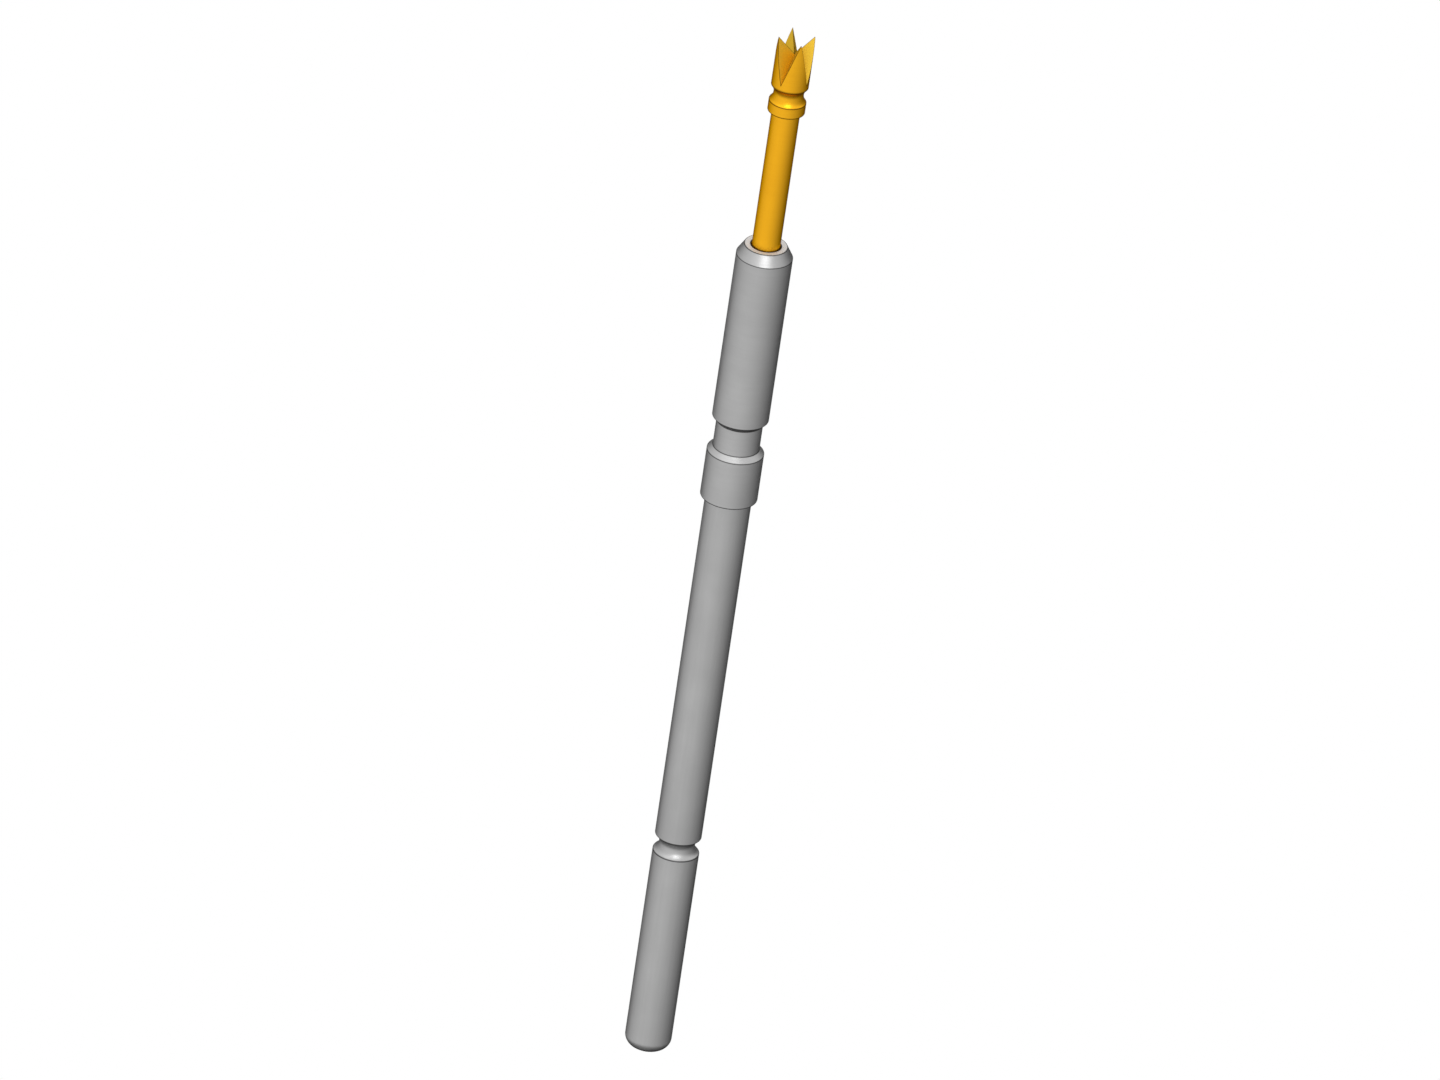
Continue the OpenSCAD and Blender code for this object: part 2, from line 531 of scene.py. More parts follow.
def plunger_tree(turned: NodeTree, crown: NodeTree) -> NodeTree:
    """Builds the tree of the plunger: a turned body with a slanted lower end and a crown on top.

    Args:
        turned: the group that turns a half section.
        crown: the group that makes the crown.

    Returns:
        The tree. It marks the crown's sharp edges, for the bevel.
    """
    sizes = {
        item.name: item.socket_type.removeprefix("NodeSocket")
        for item in crown.interface.items_tree
        if item.in_out == "INPUT"
    }
    own = {"Slant": "Float", "Slant Reach": "Float", "Material": "Material"}
    tree, given = new_tree("Plunger", {"Half Section": "Geometry", **sizes, **own})
    body = add_node(
        tree, "GeometryNodeGroup", (given["Half Section"], given["Steps"]), node_tree=turned
    )
    top = add_node(
        tree, "GeometryNodeGroup", {size: given[size] for size in sizes}, node_tree=crown
    )

    # The lower end is sheared, so that it becomes one slanted plane
    place = add_node(tree, "GeometryNodeInputPosition")
    at = add_node(tree, "ShaderNodeSeparateXYZ", (place,)).outputs
    at_end = add_node(tree, MATH, (at["Z"], given["Slant Reach"]), operation="LESS_THAN")
    shift = add_node(tree, MATH, (at["X"], given["Slant"]), operation="MULTIPLY")
    shear = add_node(tree, "ShaderNodeCombineXYZ", {"Z": shift})
    slanted = add_node(
        tree, "GeometryNodeSetPosition", {"Geometry": body, "Selection": at_end, "Offset": shear}
    )
    both = add_node(tree, "GeometryNodeJoinGeometry", ([slanted, top],))
    whole = add_node(
        tree, "GeometryNodeMergeByDistance", {"Geometry": both, "Distance": SAME_PLACE}
    )
    angle = add_node(tree, "GeometryNodeInputMeshEdgeAngle").outputs["Signed Angle"]
    sharp = add_node(tree, MATH, (angle, SHARP_ANGLE), operation="GREATER_THAN")
    marked = add_node(
        tree,
        "GeometryNodeStoreNamedAttribute",
        {"Geometry": whole, "Name": "bevel_weight_edge", "Value": sharp},
        data_type="FLOAT",
        domain="EDGE",
    )
    smooth = add_node(tree, "GeometryNodeSetShadeSmooth", {"Geometry": marked})
    # The bottoms of the notches stay sharp, so that the flanks are flat right up to them
    valley = add_node(tree, MATH, (angle, -SHARP_ANGLE), operation="LESS_THAN")
    creased = add_node(
        tree,
        "GeometryNodeSetShadeSmooth",
        {"Geometry": smooth, "Selection": valley, "Shade Smooth": False},
        domain="EDGE",
    )
    real = add_node(tree, "GeometryNodeRealizeInstances", {"Geometry": creased})
    dressed = add_node(
        tree, "GeometryNodeSetMaterial", {"Geometry": real, "Material": given["Material"]}
    )
    add_node(tree, "NodeGroupOutput", {"Geometry": dressed})
    return tree


def wear_and_shade_tree() -> NodeTree:
    """Builds the tree that marks a bevel, which is in the empty first slot, for dark wear and
    painted shade.

    Returns:
        The tree.
    """
    tree, given = new_tree("Edge wear", {"Geometry": "Geometry", "Material": "Material"})
    worn = add_node(tree, "GeometryNodeInputNamedAttribute", {"Name": WORN_AND_SHADED}, data_type="FLOAT")
    slot = add_node(tree, "GeometryNodeInputMaterialIndex")
    bare = add_node(tree, MATH, (slot, 1), operation="LESS_THAN")
    wear = add_node(tree, MATH, (worn, bare), operation="MAXIMUM")
    marked = add_node(
        tree,
        "GeometryNodeStoreNamedAttribute",
        {"Geometry": given["Geometry"], "Name": WORN_AND_SHADED, "Value": wear},
        data_type="FLOAT",
        domain="CORNER",
    )
    dressed = add_node(
        tree, "GeometryNodeSetMaterial", {"Geometry": marked, "Material": given["Material"]}
    )
    add_node(tree, "NodeGroupOutput", {"Geometry": dressed})
    return tree


def coil_tree() -> NodeTree:
    """Builds the tree of a compression spring: round wire on a helix, closed at both ends.

    Returns:
        The tree.
    """
    tree, given = new_tree(
        "Coil spring",
        {
            "Geometry": "Geometry",
            "Active Turns": "Int",
            "Closed Turns": "Int",
            "Closed Pitch": "Float",
            "Coil Radius": "Float",
            "Wire Radius": "Float",
            "Low End": "Float",
            "High End": "Float",
            "Steps per Turn": "Int",
            "Wire Sides": "Int",
            "Material": "Material",
        },
    )
    active, closed, pitch = given["Active Turns"], given["Closed Turns"], given["Closed Pitch"]
    turns = add_node(tree, MATH, (closed, 2, active), operation="MULTIPLY_ADD")
    steps = add_node(tree, MATH, (turns, given["Steps per Turn"]), operation="MULTIPLY")
    line = add_node(tree, "GeometryNodeCurvePrimitiveLine")
    path = add_node(
        tree, "GeometryNodeResampleCurve", {"Curve": line, "Count": steps}, mode="COUNT"
    )

    # The closed turns climb by the wire, and the active ones share the rest of the height
    factor = add_node(tree, "GeometryNodeSplineParameter").outputs["Factor"]
    turn = add_node(tree, MATH, (factor, turns), operation="MULTIPLY")
    after = add_node(tree, MATH, (turn, closed), operation="SUBTRACT")
    open_turns = add_node(tree, "ShaderNodeClamp", {"Value": after, "Min": 0, "Max": active})
    tight_turns = add_node(tree, MATH, (turn, open_turns), operation="SUBTRACT")
    tight = add_node(tree, MATH, (closed, pitch), operation="MULTIPLY")
    length = add_node(tree, MATH, (given["High End"], given["Low End"]), operation="SUBTRACT")
    free = add_node(tree, MATH, (tight, -2, length), operation="MULTIPLY_ADD")
    open_pitch = add_node(tree, MATH, (free, active), operation="DIVIDE")
    base = add_node(tree, MATH, (tight_turns, pitch, given["Low End"]), operation="MULTIPLY_ADD")
    height = add_node(tree, MATH, (open_turns, open_pitch, base), operation="MULTIPLY_ADD")
    angle = add_node(tree, MATH, (turn, math.tau), operation="MULTIPLY")
    arm = add_node(tree, "ShaderNodeCombineXYZ", {"X": given["Coil Radius"], "Z": height})
    wound = add_node(
        tree, "ShaderNodeVectorRotate", {"Vector": arm, "Angle": angle}, rotation_type="Z_AXIS"
    )
    helix = add_node(tree, "GeometryNodeSetPosition", {"Geometry": path, "Position": wound})
    wire = add_node(
        tree,
        "GeometryNodeCurvePrimitiveCircle",
        {"Resolution": given["Wire Sides"], "Radius": given["Wire Radius"]},
        mode="RADIUS",
    )
    drawn = add_node(
        tree, "GeometryNodeCurveToMesh", {"Curve": helix, "Profile Curve": wire, "Fill Caps": True}
    )
    smooth = add_node(tree, "GeometryNodeSetShadeSmooth", {"Geometry": drawn})
    real = add_node(tree, "GeometryNodeRealizeInstances", {"Geometry": smooth})
    dressed = add_node(
        tree, "GeometryNodeSetMaterial", {"Geometry": real, "Material": given["Material"]}
    )
    add_node(tree, "NodeGroupOutput", {"Geometry": dressed})
    return tree


# ---------------------------------------------------------------- finishes


class Marks(Enum):
    """The way in which the marks of the last tool run."""

    TURNED = "round the axis"
    DRAWN = "along the axis"
    TURNED_ABOVE_SHOULDER = "round the axis above the shoulder, and along it below"


@dataclass(frozen=True)
class MetalFinish:
    """A metal surface with the marks of its making.

    Sizes are in millimetres. The marks of real tools are 5 to 20 micrometres apart, which is too
    fine to show, so they are drawn several times as coarse.
    """

    name: str
    colour: str
    shade: str  # colour of the patches
    roughness: float
    marks: Marks
    second_roughness: float = 0.0
    # Colour of what a second tool cut: painted light, paler where faces look up and yellower on the
    # crown's flanks
    second_cut_painted_colour: str = ""  # colour of what a second tool cut, if it differs
    # Dark colour of the broken edges: partly worn plating, partly painted shade lines, as under the
    # collar
    worn_and_shade_colour: str = ""  # colour of the broken edges, if it differs
    worn_and_shade_share: float = 0.9
    grazing: str = "#808080"  # how much of a mirror the metal is where it turns away
    patch_swing: float = 0.03  # how far the roughness of a patch is from the mean
    streak_swing: float = 0.04  # how far the roughness of a mark is from the mean
    mark_width: float = 0.07
    mark_length: float = 2.5
    mark_depth: float = 0.002
    cloud_size: float = 1.3

    def mark_height(self, tree: NodeTree, place: NodeSocket, marks: Marks) -> Node:
        """Adds the pattern of the marks.

        Args:
            tree: the material's node tree.
            place: the object coordinates.
            marks: the way in which the marks run.

        Returns:
            The node that gives the pattern's height, from 0 to 1.
        """
        if marks is Marks.TURNED_ABOVE_SHOULDER:
            height = add_node(tree, "ShaderNodeSeparateXYZ", (place,)).outputs["Z"]
            above = add_node(tree, MATH, (height, TURNED_FROM * MM), operation="GREATER_THAN")
            drawn, turned = (
                self.mark_height(tree, place, one) for one in (Marks.DRAWN, Marks.TURNED)
            )
            return add_node(
                tree, "ShaderNodeMix", {"Factor": above, "A": drawn, "B": turned}, data_type="FLOAT"
            )
        fine, long = 1 / (self.mark_width * MM), 1 / (self.mark_length * MM)
        scale = (long, long, fine) if marks is Marks.TURNED else (fine, fine, long)
        run = add_node(tree, "ShaderNodeMapping", {"Vector": place, "Scale": scale})
        return add_node(
            tree, "ShaderNodeTexNoise", {"Vector": run, "Scale": 1, "Detail": 3, "Roughness": 0.6}
        )

    def material(self) -> Material:
        """Builds the finish.

        Returns:
            The material.
        """
        made = bpy.data.materials.new(self.name)
        tree = shader_tree(made)
        place = add_node(tree, "ShaderNodeTexCoord").outputs["Object"]
        pattern = self.mark_height(tree, place, self.marks)
        size = 1 / (self.cloud_size * MM)
        cloud = add_node(tree, "ShaderNodeTexNoise", {"Vector": place, "Scale": size, "Detail": 4})
        # Plating is a little duller and greyer in patches, by a few parts in a hundred
        tint = add_node(
            tree,
            "ShaderNodeMix",
            {"Factor": cloud, "A": linear(self.colour), "B": linear(self.shade)},
            data_type="RGBA",
        ).outputs["Result"]
        patchy = add_node(
            tree, "ShaderNodeMapRange", (cloud, *NOISE_RANGE, -self.patch_swing, self.patch_swing)
        )
        low, high = self.roughness - self.streak_swing, self.roughness + self.streak_swing
        streaky = add_node(tree, "ShaderNodeMapRange", (pattern, *NOISE_RANGE, low, high))
        dull = add_node(tree, MATH, (patchy, streaky), operation="ADD")
        # What a second tool cut is duller, and gets a colour that is painted light
        if self.second_cut_painted_colour:
            cut = add_node(tree, "ShaderNodeAttribute", attribute_name=SECOND_CUT_AND_PAINTED_LIGHT).outputs["Fac"]
            dull = add_node(
                tree,
                "ShaderNodeMix",
                {"Factor": cut, "A": dull, "B": self.second_roughness},
                data_type="FLOAT",
            )
            tint = add_node(
                tree,
                "ShaderNodeMix",
                {"Factor": cut, "A": tint, "B": linear(self.second_cut_painted_colour)},
                data_type="RGBA",
            ).outputs["Result"]
        # Broken edges are painted dark: partly worn plating, partly painted shade lines
        if self.worn_and_shade_colour:
            worn = add_node(tree, "ShaderNodeAttribute", attribute_name=WORN_AND_SHADED).outputs["Fac"]
            rubbed_and_shaded = add_node(tree, MATH, (worn, self.worn_and_shade_share), operation="MULTIPLY")
            tint = add_node(
                tree,
                "ShaderNodeMix",
                {"Factor": rubbed_and_shaded, "A": tint, "B": linear(self.worn_and_shade_colour)},
                data_type="RGBA",
            ).outputs["Result"]
        bump = add_node(
            tree,
            "ShaderNodeBump",
            {"Height": pattern, "Strength": 1, "Distance": self.mark_depth * MM},
        )
        metal = add_node(
            tree,
            "ShaderNodeBsdfPrincipled",
            {
                "Base Color": tint,
                "Metallic": 1,
                "Roughness": dull,
                "Specular Tint": linear(self.grazing),
                "Normal": bump,
            },
        )
        add_node(tree, "ShaderNodeOutputMaterial", {"Surface": metal})
        return made


# Electrolytic nickel over nickel silver: a neutral grey, satin because the plating is matt. The
# mouth's end face is duller, and painted paler as if lit from above. The broken edges are darkened,
# partly as worn plating and partly as painted shade lines.
SATIN_NICKEL = MetalFinish(
    "satin_nickel_plate_on_nickel_silver",
    "#bcbcbc",
    "#b2b2b2",
    0.38,
    Marks.TURNED_ABOVE_SHOULDER,
    second_roughness=0.75,
    second_cut_painted_colour="#dcdcdc",
    worn_and_shade_colour="#3a3a3a",
)
# Hard gold over a turned copper alloy: deep yellow, and as smooth as the barrel. The crown's
# milled flanks are duller, and painted yellower against the orange of their reflections in each
# other. The broken edges are darkened to a dark brown, partly as worn plating and partly as painted
# shade lines.
POLISHED_GOLD = MetalFinish(
    "hard_gold_plate_on_copper_alloy",
    "#fcbb26",
    "#f5b022",
    0.36,
    Marks.TURNED,
    second_roughness=0.5,
    second_cut_painted_colour="#ebc240",
    worn_and_shade_colour="#4a2a08",
    mark_depth=0.0015,
)
# Hardened bearing steel, lapped: nearly a mirror
LAPPED_STEEL = MetalFinish(
    "lapped_bearing_steel", "#d2d4d6", "#c8cacc", 0.12, Marks.TURNED, mark_depth=0.0001
)
# Stainless spring wire, drawn through a die: grey, with a dull sheen
DRAWN_WIRE = MetalFinish(
    "drawn_stainless_wire", "#b4b4b0", "#a6a6a2", 0.35, Marks.TURNED, mark_depth=0.0003
)


# ---------------------------------------------------------------- the pin's pieces


@dataclass
class Piece:
    """A piece of the pin: its name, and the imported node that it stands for."""

    name: str
    node: str
    body: str
    slot: str
    finish: MetalFinish

    def box(self) -> tuple[Vector, Vector]:
        """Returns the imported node's lowest and highest corners in millimetres."""
        low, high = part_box(self.node)
        return low / MM, high / MM

    def turn(self, section: HalfSection, steps: int, turned: NodeTree) -> Object:
        """Makes a piece that is only turned.

        Args:
            section: its half section.
            steps: number of steps round the axis.
            turned: the tree of a turned piece.

        Returns:
            The finished piece.
        """
        outline = self.node + "_outline"
        rough = new_object(outline, section.mesh(outline))
        run_tree(rough, turned, {"Steps": steps, "Material": self.finish.material()})
        return self.set_in_frame(finished(self.name, rough))

    def set_in_frame(self, made: Object) -> Object:
        """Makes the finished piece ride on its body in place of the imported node.

        Args:
            made: the finished piece.

        Returns:
            The same piece.
        """
        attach(made, self.body)
        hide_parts(self.node)
        log.info("%s: %d faces, rides on %s", made.name, len(made.data.polygons), self.body)
        return made


@dataclass
class Barrel(Piece):
    """The barrel, drawn and turned in one piece. Sizes are in millimetres."""

    name: str = "turned_barrel"
    node: str = "barrel"
    body: str = "barrel"
    slot: str = "nickel_plate"
    finish: MetalFinish = SATIN_NICKEL
    steps: int = 192
    tube_d: float = 1.36
    bore_d: float = 1.08
    collar_d: float = 1.67
    collar_h: float = 1.51
    neck_h: float = 1.13
    sleeve_d: float = 1.65
    sleeve_h: float = 5.35
    mouth_d: float = 1.26
    lip_d: float = 0.87
    lip_h: float = 0.35
    tube_len: float = 11.29
    roll_w: float = 0.54
    roll_depth: float = 0.155
    end_r: float = 0.35
    edge: float = 0.014
    rolled_edge: float = 0.021  # edges that were rolled, which are softer than cut ones
    collar_rim: float = 0.025  # lower rim of the collar, which is pressed into the plate

    def half_section(self) -> HalfSection:
        """Draws the barrel's wall, up the outside and down the inside.

        Returns:
            The half section.
        """
        low, high = self.box()
        tail_z, mouth_z = low.z, high.z
        diameters = (self.tube_d, self.bore_d, self.collar_d, self.sleeve_d, self.lip_d)
        tube_r, bore_r, collar_r, sleeve_r, lip_r = (d / 2 for d in diameters)
        lip_z, wall, edge = mouth_z - self.lip_h, tube_r - bore_r, self.edge
        sleeve_z = self.collar_h + self.neck_h
        roll_z = -self.tube_len - self.roll_w / 2
        roll_arc = arc_radius(self.roll_w, self.roll_depth)
        roll_r = tube_r - self.roll_depth + roll_arc
        outside = [
            Corner(0, tail_z),
            Corner(tube_r, tail_z, self.end_r),
            *waist(tube_r, roll_r, roll_z, roll_arc, self.rolled_edge),
            Corner(tube_r, 0, edge),
            Corner(collar_r, 0, self.collar_rim),
            Corner(collar_r, self.collar_h, edge),
            Corner(tube_r, self.collar_h + collar_r - tube_r, edge),
            Corner(tube_r, sleeve_z - sleeve_r + tube_r, edge),
            Corner(sleeve_r, sleeve_z, edge),
            Corner(sleeve_r, sleeve_z + self.sleeve_h, edge),
            Corner(self.mouth_d / 2, mouth_z, edge),
        ]
        inside = [
            Corner(lip_r, mouth_z, self.rolled_edge),
            Corner(lip_r, lip_z, edge),
            Corner(bore_r, lip_z - bore_r + lip_r, edge),
            *reversed(waist(bore_r, roll_r, roll_z, roll_arc + wall, self.rolled_edge)),
            Corner(bore_r, tail_z + wall, self.end_r - wall),
            Corner(0, tail_z + wall),
        ]
        return HalfSection(outside + inside)

    def build(self, turned: NodeTree) -> Object:
        """Makes the barrel, with the tree of a turned piece, and returns it."""
        return self.turn(self.half_section(), self.steps, turned)


@dataclass
class Plunger(Piece):
    """The plunger: a turned body with a guide piston below and a crown of points on top.

    Sizes are in millimetres, and the angle is in degrees.
    """

    name: str = "crown_plunger"
    node: str = "plunger"
    body: str = "plunger"
    slot: str = "gold_plate"
    finish: MetalFinish = POLISHED_GOLD
    steps: int = 192
    shaft_d: float = 0.83
    crown_d: float = 1.09
    points: int = 4
    point_h: float = 1.43
    point_rise: float = 0.58
    foot_h: float = 0.19
    groove_w: float = 0.50
    groove_depth: float = 0.105
    band_h: float = 0.34
    piston_d: float = 1.04
    piston_len: float = 2.55
    bias_angle: float = 20.0
    slant_reach: float = 0.042  # height of what is sheared at the slanted end
    edge: float = 0.014
    band_rim: float = 0.025
    crown_edge: float = 0.015
    crown_edge_steps: int = 3
    seam_h: float = 0.06  # height over the crown's lower rim where the crown's own mesh begins

    def half_section(self) -> HalfSection:
        """Draws the turned body, from the slanted end to just above the crown's lower rim.

        Returns:
            The half section.
        """
        low, high = self.box()
        crown_r, shaft_r, piston_r = self.crown_d / 2, self.shaft_d / 2, self.piston_d / 2
        edge = self.edge
        end_z = low.z + piston_r * math.tan(math.radians(self.bias_angle))
        piston_z = end_z + self.piston_len
        crown_z = high.z - self.point_h - self.foot_h
        groove_z = crown_z - self.groove_w / 2
        band_z = crown_z - self.groove_w - self.band_h
        groove_arc = arc_radius(self.groove_w, self.groove_depth)
        groove_r = crown_r - self.groove_depth + groove_arc
        return HalfSection(
            [
                Corner(0, end_z),
                Corner(piston_r, end_z, edge),
                Corner(piston_r, piston_z - piston_r + shaft_r, edge),
                Corner(shaft_r, piston_z, edge),
                Corner(shaft_r, band_z, edge),
                Corner(crown_r, band_z, self.band_rim),
                *waist(crown_r, groove_r, groove_z, groove_arc, edge),
                Corner(crown_r, crown_z + self.seam_h),
            ]
        )

    def build(self, plunger: NodeTree, wear: NodeTree) -> Object:
        """Makes the plunger.

        Args:
            plunger: the plunger's tree.
            wear: the tree that marks the bevel for dark wear and painted shade.

        Returns:
            The finished plunger.
        """
        section = self.half_section()
        gold = self.finish.material()
        rough = new_object("plunger_outline", section.mesh("plunger_outline"))
        sizes = {
            "Steps": self.steps,
            "Points": self.points,
            "Radius": self.crown_d / 2,
            "Tip Height": self.box()[1].z,
            "Point Rise": self.point_rise,
            "Point Height": self.point_h,
            "Wall Foot": section.corners[-1].z,
            "Slant": -math.tan(math.radians(self.bias_angle)),
            "Slant Reach": section.corners[0].z + self.slant_reach,
            "Material": gold,
        }
        run_tree(rough, plunger, sizes)
        # The bevel's faces take the empty first slot, by which they are told apart
        rough.data.materials.append(None)
        bevel = rough.modifiers.new("Broken edges", "BEVEL")
        bevel.material = 0
        bevel.limit_method = "WEIGHT"
        bevel.offset_type = "WIDTH"
        bevel.width = self.crown_edge
        bevel.segments = self.crown_edge_steps
        bevel.harden_normals = True
        run_tree(rough, wear, {"Material": gold})
        return self.set_in_frame(finished(self.name, rough))


@dataclass
class ContactBall(Piece):
    """The ball between the spring and the plunger's slanted end. Its size is in millimetres."""

    name: str = "contact_ball"
    node: str = "bias_ball"
    body: str = "plunger"
    slot: str = "ball_steel"
    finish: MetalFinish = LAPPED_STEEL
    steps: int = 96
    ball_d: float = 0.90

    def build(self, turned: NodeTree) -> Object:
        """Makes the ball.

        Args:
            turned: the tree of a turned piece.

        Returns:
            The finished ball.
        """
        low, high = self.box()
        rings, ball_r, middle_z = self.steps // 2, self.ball_d / 2, (low.z + high.z) / 2
        angles = [math.pi * ring / rings for ring in range(rings + 1)]
        outline = [Corner(ball_r * math.sin(a), middle_z - ball_r * math.cos(a)) for a in angles]
        return self.turn(HalfSection(outline, held_from=math.inf), self.steps, turned)


@dataclass
class CoilSpring(Piece):
    """The compression spring inside the barrel. Sizes are in millimetres."""

    name: str = "coil_spring"
    node: str = "spring"
    body: str = "spring"
    slot: str = "spring_wire"
    finish: MetalFinish = DRAWN_WIRE
    wire_d: float = 0.16
    coil_d: float = 0.86
    active_turns: int = 34
    closed_turns: int = 2
    closed_gap: float = 0.01
    steps_per_turn: int = 40
    wire_sides: int = 12

    def build(self, coil: NodeTree) -> Object:
        """Makes the spring at one length, while the real one shortens as the plunger goes in.

        Args:
            coil: the spring's tree.

        Returns:
            The finished spring.
        """
        low, high = self.box()
        rough = new_object("spring_start", bpy.data.meshes.new("spring_start"))
        sizes = {
            "Active Turns": self.active_turns,
            "Closed Turns": self.closed_turns,
            "Closed Pitch": self.wire_d + self.closed_gap,
            "Coil Radius": self.coil_d / 2,
            "Wire Radius": self.wire_d / 2,
            "Low End": low.z + self.wire_d / 2,
            "High End": high.z - self.wire_d / 2,
            "Steps per Turn": self.steps_per_turn,
            "Wire Sides": self.wire_sides,
            "Material": self.finish.material(),
        }
        run_tree(rough, coil, sizes)
        made = self.set_in_frame(finished(self.name, rough))
        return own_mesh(made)


# ---------------------------------------------------------------- studio and camera


@dataclass
class Camera:
    """The camera, which looks down on the pin from its left.

    Angles are in degrees, the clip distances in metres, and the other sizes in millimetres.
    """

    azimuth: float = -17.35
    elevation: float = 29.0
    roll: float = 8.47
    lens: float = 1280.0
    sensor: float = 36.0
    frame_w: float = 41.44
    origin_right: float = 0.2507
    origin_up: float = 1.277
    clip_near: float = 0.1
    clip_far: float = 10.0

    def direction(self, turn: float, height: float) -> Vector:
        """Returns the direction so far to the right of the camera's, and so high."""
        a, e = math.radians(self.azimuth + turn), math.radians(height)
        return Vector((math.sin(a) * math.cos(e), -math.cos(a) * math.cos(e), math.sin(e)))

    def axes(self) -> tuple[Vector, Vector, Vector]:
        """Works out how the camera is turned.

        Returns:
            The directions to its right, to its top, and from the pin back to it.
        """
        a, roll = math.radians(self.azimuth), math.radians(self.roll)
        back = self.direction(0, self.elevation)
        level = Vector((math.cos(a), math.sin(a), 0))
        right = level * math.cos(roll) + back.cross(level) * math.sin(roll)
        return right, back.cross(right), back

    def build(self) -> None:
        """Makes the camera."""
        right, up, back = self.axes()
        data = bpy.data.cameras.new("camera")
        data.lens, data.sensor_width = self.lens, self.sensor
        data.clip_start, data.clip_end = self.clip_near, self.clip_far
        made = new_object("camera", data)
        aim = -(right * self.origin_right + up * self.origin_up) * MM
        made.location = aim + back * self.frame_w * MM * self.lens / self.sensor
        made.rotation_mode = "QUATERNION"
        made.rotation_quaternion = Matrix((right, up, back)).transposed().to_quaternion()
        bpy.context.scene.camera = made


@dataclass(frozen=True)
class SoftLight:
    """A soft round light.

    It stands so far to the right of the camera, and so high, in degrees. Its distance from the
    pin and its size are in metres.
    """

    name: str
    turn: float
    height: float
    distance: float
    size: float
    power: float


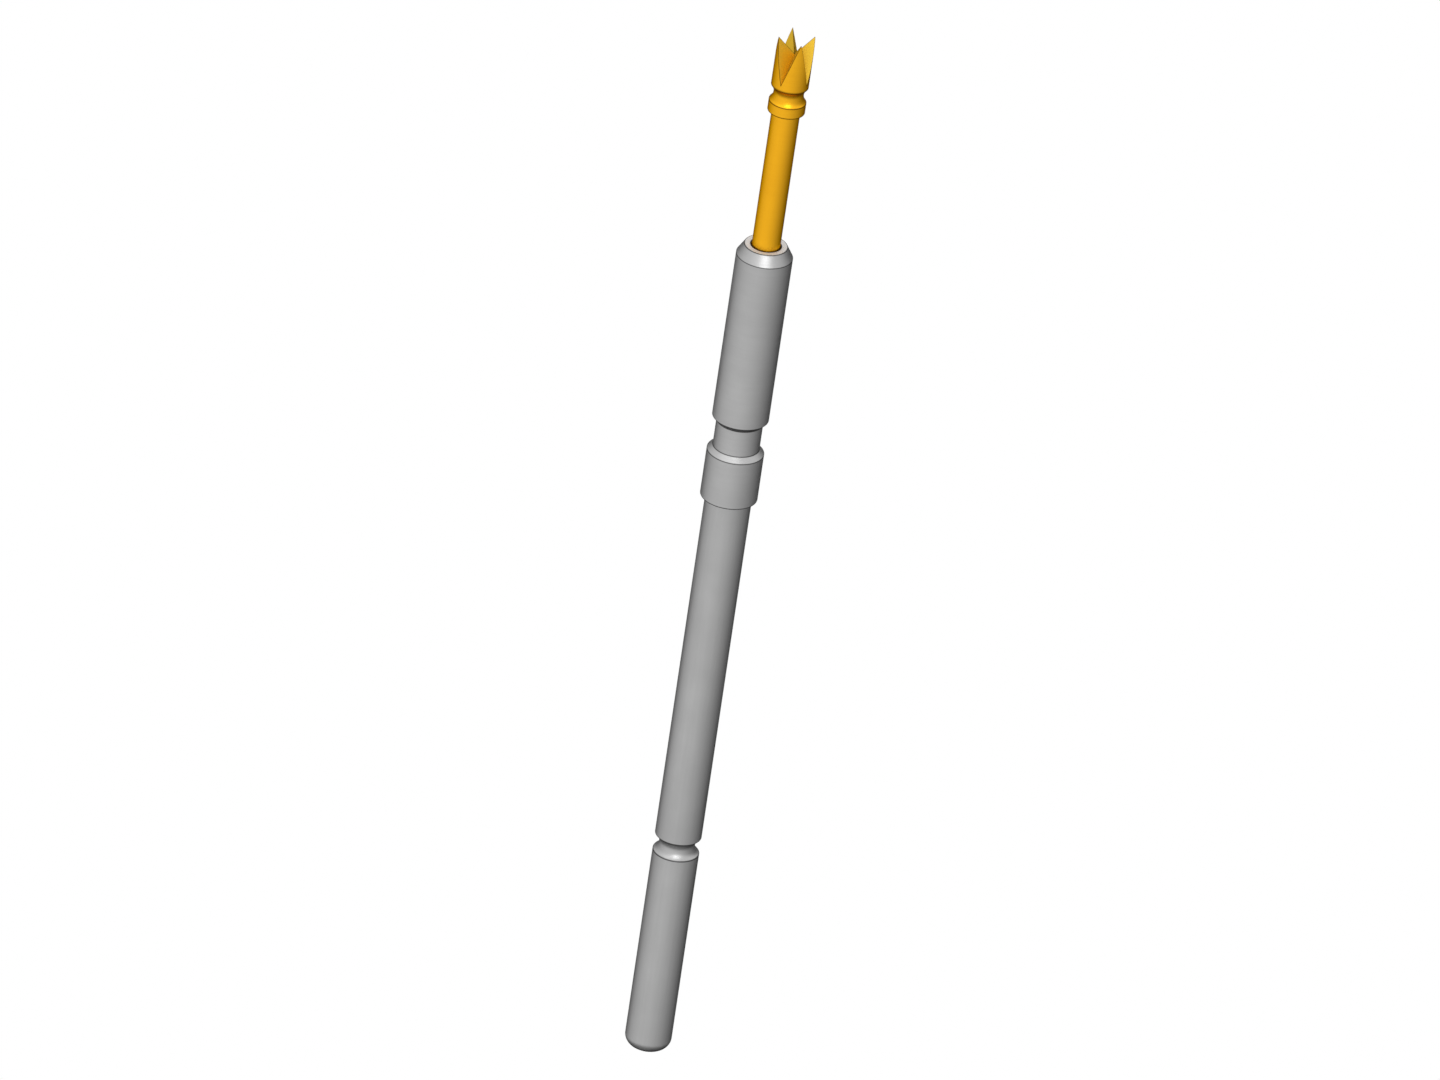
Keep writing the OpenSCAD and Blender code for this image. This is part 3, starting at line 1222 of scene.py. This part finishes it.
@dataclass
class Studio:
    """A pale floor and backdrop that are graded like a lit studio, and three soft lights.

    The floor's sizes are in millimetres and metres. The bands are heights of a direction, from -1
    for straight down to 1 for straight up.
    """

    camera: Camera
    floor_drop: float = 200.0  # millimetres from the barrel's tail down to the floor
    floor_half: float = 1.0  # metres from the floor's middle to its sides
    floor_colour: str = "#f4f4f4"
    tone_near: float = 1.0
    tone_far: float = 0.2
    tone_under: float = 0.3
    under_band: tuple[float, float] = (-0.8, -0.55)
    overhead_band: tuple[float, float] = (0.1, 0.5)
    key_turn: float = -30.0
    ambient: float = 0.7
    lights: list[SoftLight] = field(
        default_factory=lambda: [
            SoftLight("key_light", -35, 62, 0.8, 0.9, 0.9),
            SoftLight("front_light", 8, 34, 0.6, 0.36, 0.68),
            SoftLight("back_light", 180, 32, 0.8, 0.6, 0.6),
        ]
    )

    def tone_group(self) -> NodeTree:
        """Builds the tone of the surroundings: palest at the key light and overhead, dim below.

        Returns:
            The tree.
        """
        tree, given = new_tree(
            "Studio tone", {"Direction": "Vector"}, ("Tone", "Float"), "ShaderNodeTree"
        )
        key = self.camera.direction(self.key_turn, 0)
        unit = add_node(tree, "ShaderNodeVectorMath", (given["Direction"],), operation="NORMALIZE")
        height = add_node(tree, "ShaderNodeSeparateXYZ", (unit,)).outputs["Z"]
        level = add_node(tree, "ShaderNodeVectorMath", (unit, (1, 1, 0)), operation="MULTIPLY")
        flat = add_node(tree, "ShaderNodeVectorMath", (level,), operation="NORMALIZE")
        towards = add_node(
            tree, "ShaderNodeVectorMath", (flat, key), operation="DOT_PRODUCT"
        ).outputs["Value"]
        side = add_node(tree, "ShaderNodeMapRange", (towards, -1, 1, self.tone_far, self.tone_near))
        under = add_node(
            tree,
            "ShaderNodeMapRange",
            (height, *self.under_band, self.tone_under, 1),
            interpolation_type="SMOOTHSTEP",
        )
        around = add_node(tree, MATH, (side, under), operation="MULTIPLY")
        overhead = add_node(
            tree,
            "ShaderNodeMapRange",
            (height, *self.overhead_band),
            interpolation_type="SMOOTHSTEP",
        )
        tone = add_node(
            tree, "ShaderNodeMix", {"Factor": overhead, "A": around, "B": 1}, data_type="FLOAT"
        )
        add_node(tree, "NodeGroupOutput", {"Tone": tone})
        return tree

    def seen(self, tree: NodeTree, tone: NodeTree, direction: NodeSocket) -> tuple[Node, Node]:
        """Adds what the camera and the metal see of the surroundings.

        Args:
            tree: the floor's or the world's tree.
            tone: the studio's tone.
            direction: the direction from the pin.

        Returns:
            The nodes that tell whether a ray comes from the camera or from metal, and how bright
            it finds the surroundings.
        """
        path = add_node(tree, "ShaderNodeLightPath").outputs
        from_camera = path["Is Camera Ray"]
        metal = add_node(
            tree, MATH, (path["Is Glossy Ray"], path["Is Transmission Ray"]), operation="MAXIMUM"
        )
        seen = add_node(tree, MATH, (metal, from_camera), operation="MAXIMUM")
        graded = add_node(tree, "ShaderNodeGroup", (direction,), node_tree=tone)
        level = add_node(
            tree, "ShaderNodeMix", {"Factor": from_camera, "A": graded, "B": 1}, data_type="FLOAT"
        )
        return seen, level

    def add_world(self, tone: NodeTree) -> None:
        """Makes the world white for the camera, graded for metal, and a grey light for the rest.

        Args:
            tone: the studio's tone.
        """
        world = bpy.data.worlds.new("studio")
        tree = shader_tree(world)
        direction = add_node(tree, "ShaderNodeTexCoord").outputs["Generated"]
        seen, level = self.seen(tree, tone, direction)
        strength = add_node(
            tree,
            "ShaderNodeMix",
            {"Factor": seen, "A": self.ambient, "B": level},
            data_type="FLOAT",
        )
        light = add_node(
            tree, "ShaderNodeBackground", {"Color": linear("#ffffff"), "Strength": strength}
        )
        add_node(tree, "ShaderNodeOutputWorld", {"Surface": light})
        bpy.context.scene.world = world

    def add_floor(self, tone: NodeTree) -> None:
        """Makes the floor, which glows for the camera and the metal and is matt for the rest.

        Args:
            tone: the studio's tone.
        """
        material = bpy.data.materials.new("pale_studio_floor")
        tree = shader_tree(material)
        place = add_node(tree, "ShaderNodeTexCoord").outputs["Object"]
        seen, level = self.seen(tree, tone, place)
        matt = add_node(tree, "ShaderNodeBsdfDiffuse", {"Color": linear(self.floor_colour)})
        glow = add_node(tree, "ShaderNodeEmission", {"Color": linear("#ffffff"), "Strength": level})
        paper = add_node(tree, "ShaderNodeMixShader", (seen, matt, glow))
        add_node(tree, "ShaderNodeOutputMaterial", {"Surface": paper})
        half = self.floor_half
        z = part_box("barrel")[0].z - self.floor_drop * MM
        corners = [(x * half, y * half, z) for x, y in ((-1, -1), (1, -1), (1, 1), (-1, 1))]
        mesh = bpy.data.meshes.new("floor")
        mesh.from_pydata(corners, [], [(0, 1, 2, 3)])
        mesh.materials.append(material)
        new_object("floor", mesh)

    def add_light(self, light: SoftLight) -> None:
        """Makes one soft light that faces the pin and isn't seen by the camera.

        Args:
            light: the light.
        """
        data = bpy.data.lights.new(light.name, "AREA")
        data.shape, data.size, data.energy = "DISK", light.size, light.power
        made = new_object(light.name, data)
        towards = self.camera.direction(light.turn, light.height)
        made.location = towards * light.distance
        made.rotation_mode = "QUATERNION"
        made.rotation_quaternion = towards.to_track_quat("Z", "Y")
        made.visible_camera = False

    def build(self) -> None:
        """Makes the world, the floor and the lights."""
        tone = self.tone_group()
        self.add_world(tone)
        self.add_floor(tone)
        for light in self.lights:
            self.add_light(light)
        bpy.context.scene.view_settings.view_transform = "Standard"


def main() -> None:
    """Builds the camera, the pin and the studio, and reports each piece."""
    logging.basicConfig(level=logging.INFO, format="%(name)s: %(message)s")
    camera = Camera()
    camera.build()
    turned = turned_group()
    turned_piece = turned_tree(turned)
    Barrel().build(turned_piece)
    Plunger().build(plunger_tree(turned, crown_group()), wear_and_shade_tree())
    ContactBall().build(turned_piece)
    CoilSpring().build(coil_tree())
    Studio(camera).build()


if __name__ == "__main__":
    main()
